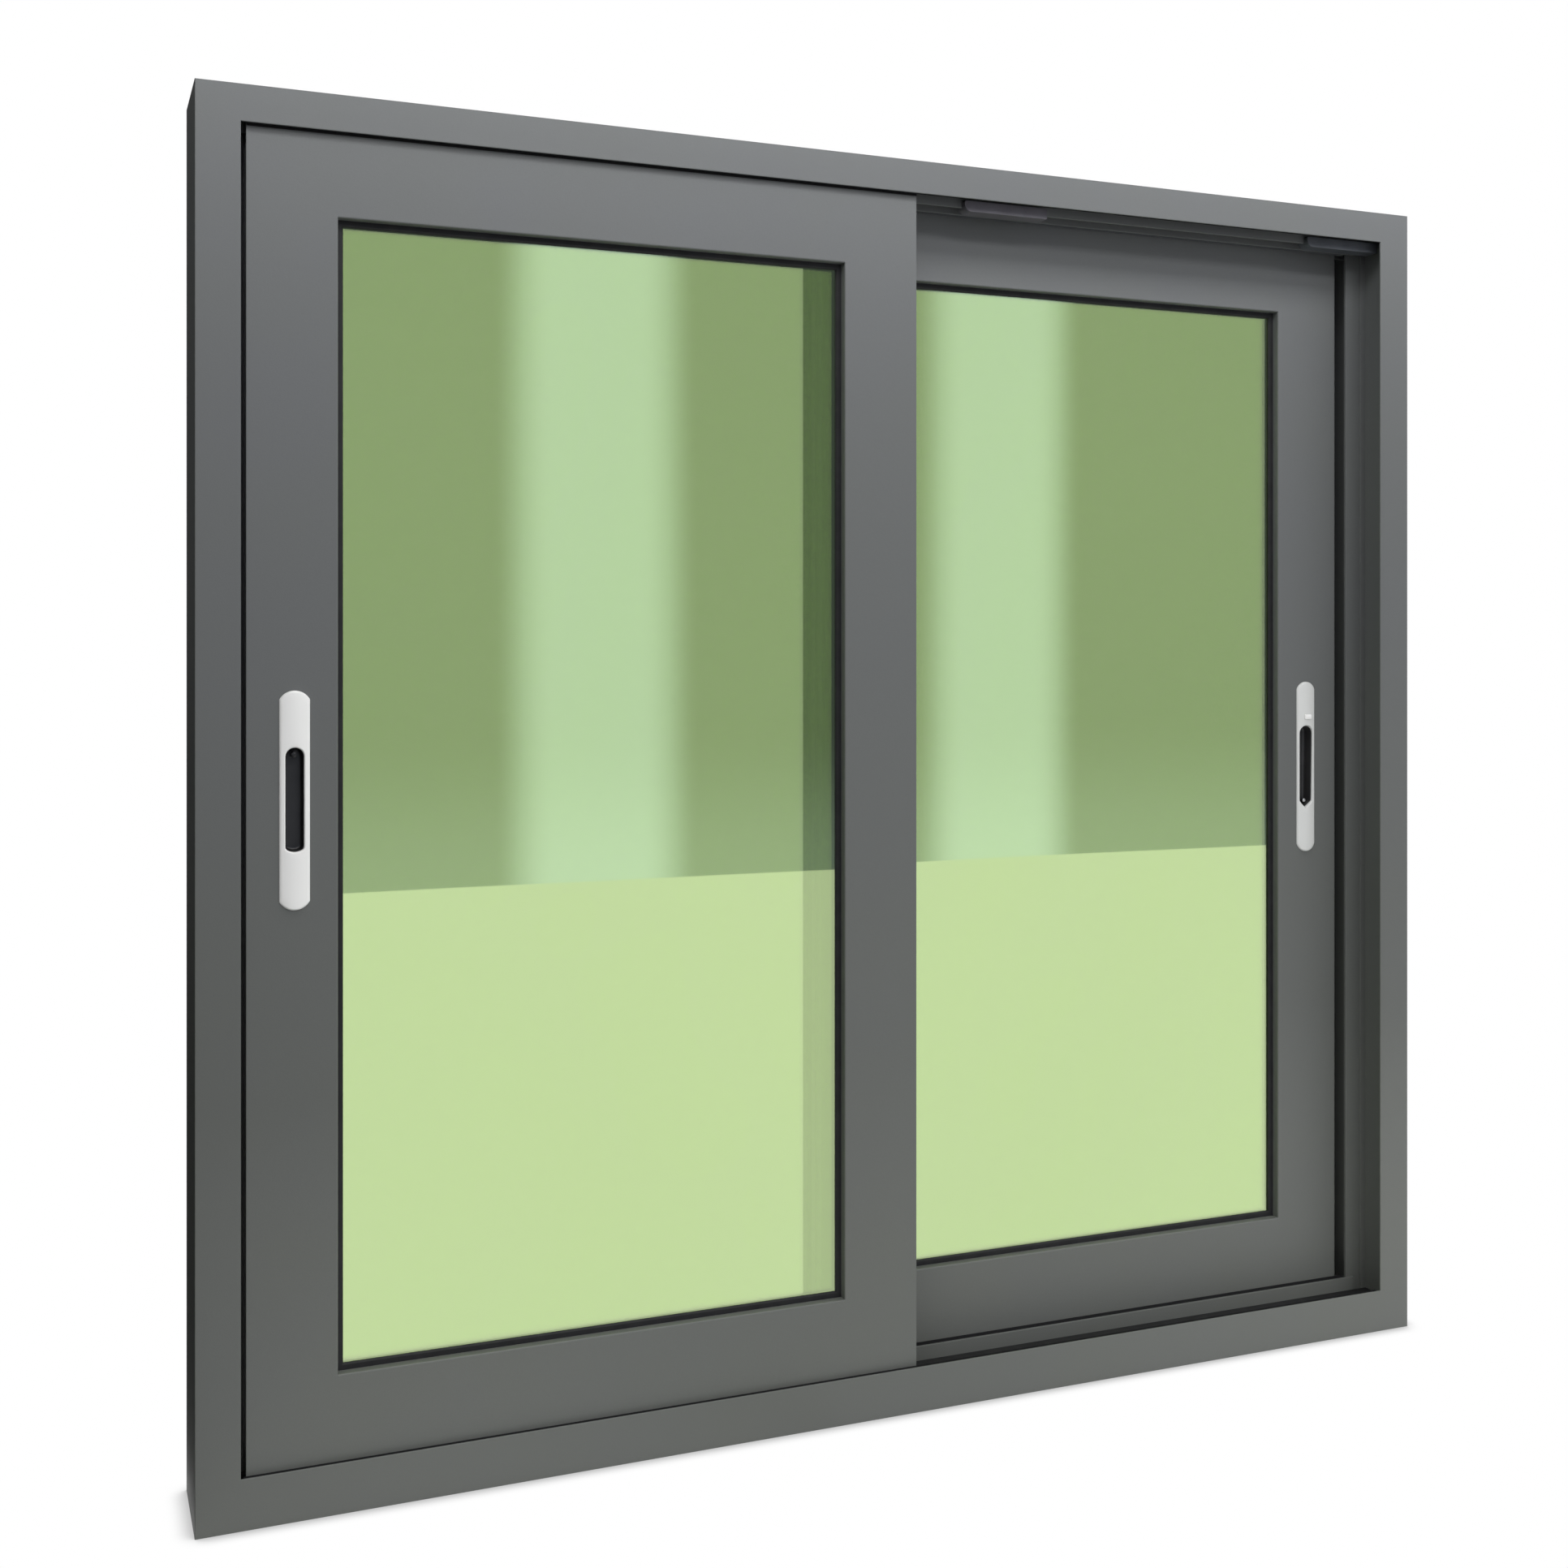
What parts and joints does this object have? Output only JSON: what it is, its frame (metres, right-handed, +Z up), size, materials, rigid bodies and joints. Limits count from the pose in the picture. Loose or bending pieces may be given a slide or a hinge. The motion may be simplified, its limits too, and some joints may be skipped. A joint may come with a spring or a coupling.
{
  "type": "horizontal sliding window",
  "caption": "Horizontal sliding window: grey channel frame with a front and a rear glazed sash that slide past each other on parallel tracks, each with a flush finger lock.",
  "frame": {"origin": "middle of the sill's underside, half way through the frame's depth", "axes": "+X to the right seen from the room, along the width; +Y out of the room, through the depth; +Z up"},
  "size_m": [1.25, 0.096, 1.2],
  "materials": {
    "frame_grey": "satin grey powder coat on extruded profiles",
    "block_grey": "moulded dark violet-grey plastic",
    "tinted_glass": "clear float glass with a yellow-green tint",
    "black_rubber": "matt black",
    "lock_white": "smooth white paint on a die-cast plate",
    "cup_black": "satin black",
    "housing_zinc": "dull zinc",
    "roller_nylon": "natural nylon"
  },
  "bodies": {
    "frame": {"frame_head": "frame_grey", "frame_sill": "frame_grey", "frame_left_jamb": "frame_grey", "frame_right_jamb": "frame_grey", "anti_lift_block_middle": "block_grey", "anti_lift_block_right": "block_grey"},
    "left_sash": {"left_sash_top_rail": "frame_grey", "left_sash_bottom_rail": "frame_grey", "left_sash_lock_stile": "frame_grey", "left_sash_meeting_stile": "frame_grey", "left_sash_interlock": "frame_grey", "left_sash_glass": "tinted_glass", "left_sash_front_gasket": "black_rubber", "left_sash_back_gasket": "black_rubber", "left_sash_bead_top": "frame_grey", "left_sash_bead_bottom": "frame_grey", "left_sash_bead_left": "frame_grey", "left_sash_bead_right": "frame_grey", "left_sash_lock_plate": "lock_white", "left_sash_lock_cup": "cup_black", "left_sash_roller_housing_left": "housing_zinc", "left_sash_roller_housing_right": "housing_zinc", "left_sash_roller_left": "roller_nylon", "left_sash_roller_right": "roller_nylon"},
    "right_sash": {"right_sash_top_rail": "frame_grey", "right_sash_bottom_rail": "frame_grey", "right_sash_lock_stile": "frame_grey", "right_sash_meeting_stile": "frame_grey", "right_sash_interlock": "frame_grey", "right_sash_glass": "tinted_glass", "right_sash_front_gasket": "black_rubber", "right_sash_back_gasket": "black_rubber", "right_sash_bead_top": "frame_grey", "right_sash_bead_bottom": "frame_grey", "right_sash_bead_left": "frame_grey", "right_sash_bead_right": "frame_grey", "right_sash_lock_plate": "lock_white", "right_sash_lock_cup": "cup_black", "right_sash_roller_housing_left": "housing_zinc", "right_sash_roller_housing_right": "housing_zinc", "right_sash_roller_left": "roller_nylon", "right_sash_roller_right": "roller_nylon"},
    "lock_button": {"right_sash_lock_button": "lock_white"}
  },
  "joints": [
    {"name": "left_sash_slide", "type": "slide", "parent": "frame", "child": "left_sash", "axis": [1, 0, 0], "range_m": [-0.015, 0.55]},
    {"name": "right_sash_slide", "type": "slide", "parent": "frame", "child": "right_sash", "axis": [-1, 0, 0], "range_m": [-0.024, 0.52]},
    {"name": "lock_button_slide", "type": "slide", "parent": "right_sash", "child": "lock_button", "axis": [0, 0, -1], "range_m": [0, 0.004]}
  ]
}
